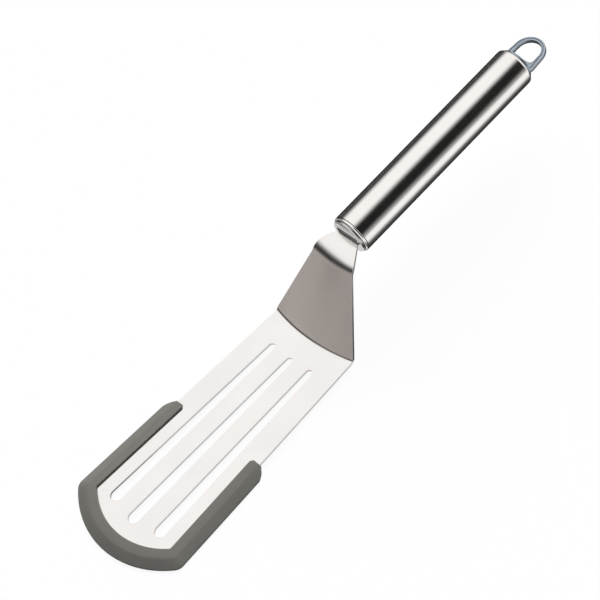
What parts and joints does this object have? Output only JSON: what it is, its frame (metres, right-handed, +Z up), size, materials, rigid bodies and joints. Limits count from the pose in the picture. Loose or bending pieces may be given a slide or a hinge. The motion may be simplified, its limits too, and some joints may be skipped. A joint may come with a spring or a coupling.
{
  "type": "slotted kitchen turner",
  "caption": "Slotted kitchen turner: bent steel blade with draining slots, a silicone edge round its front, a raised round steel handle and a hanging loop.",
  "frame": {"origin": "on the surface the tool rests on, under the middle of its overall length and width", "axes": "+X along the tool from the blade's front to the hanging loop, +Y across the blade, +Z up off the resting surface"},
  "size_m": [0.3612, 0.0844, 0.0594],
  "materials": {
    "blade_steel": "satin stainless sheet",
    "silicone": "matt warm grey silicone",
    "handle_steel": "fine brushed stainless tube",
    "cap_steel": "satin drawn cap",
    "plug_plastic": "unseen moulded plug",
    "loop_metal": "satin cast grey metal"
  },
  "bodies": {
    "root": {"blade": "blade_steel", "silicone_edge": "silicone", "handle_tube": "handle_steel", "front_cap": "cap_steel", "tang_plug": "plug_plastic", "hanging_loop": "loop_metal"}
  },
  "joints": []
}
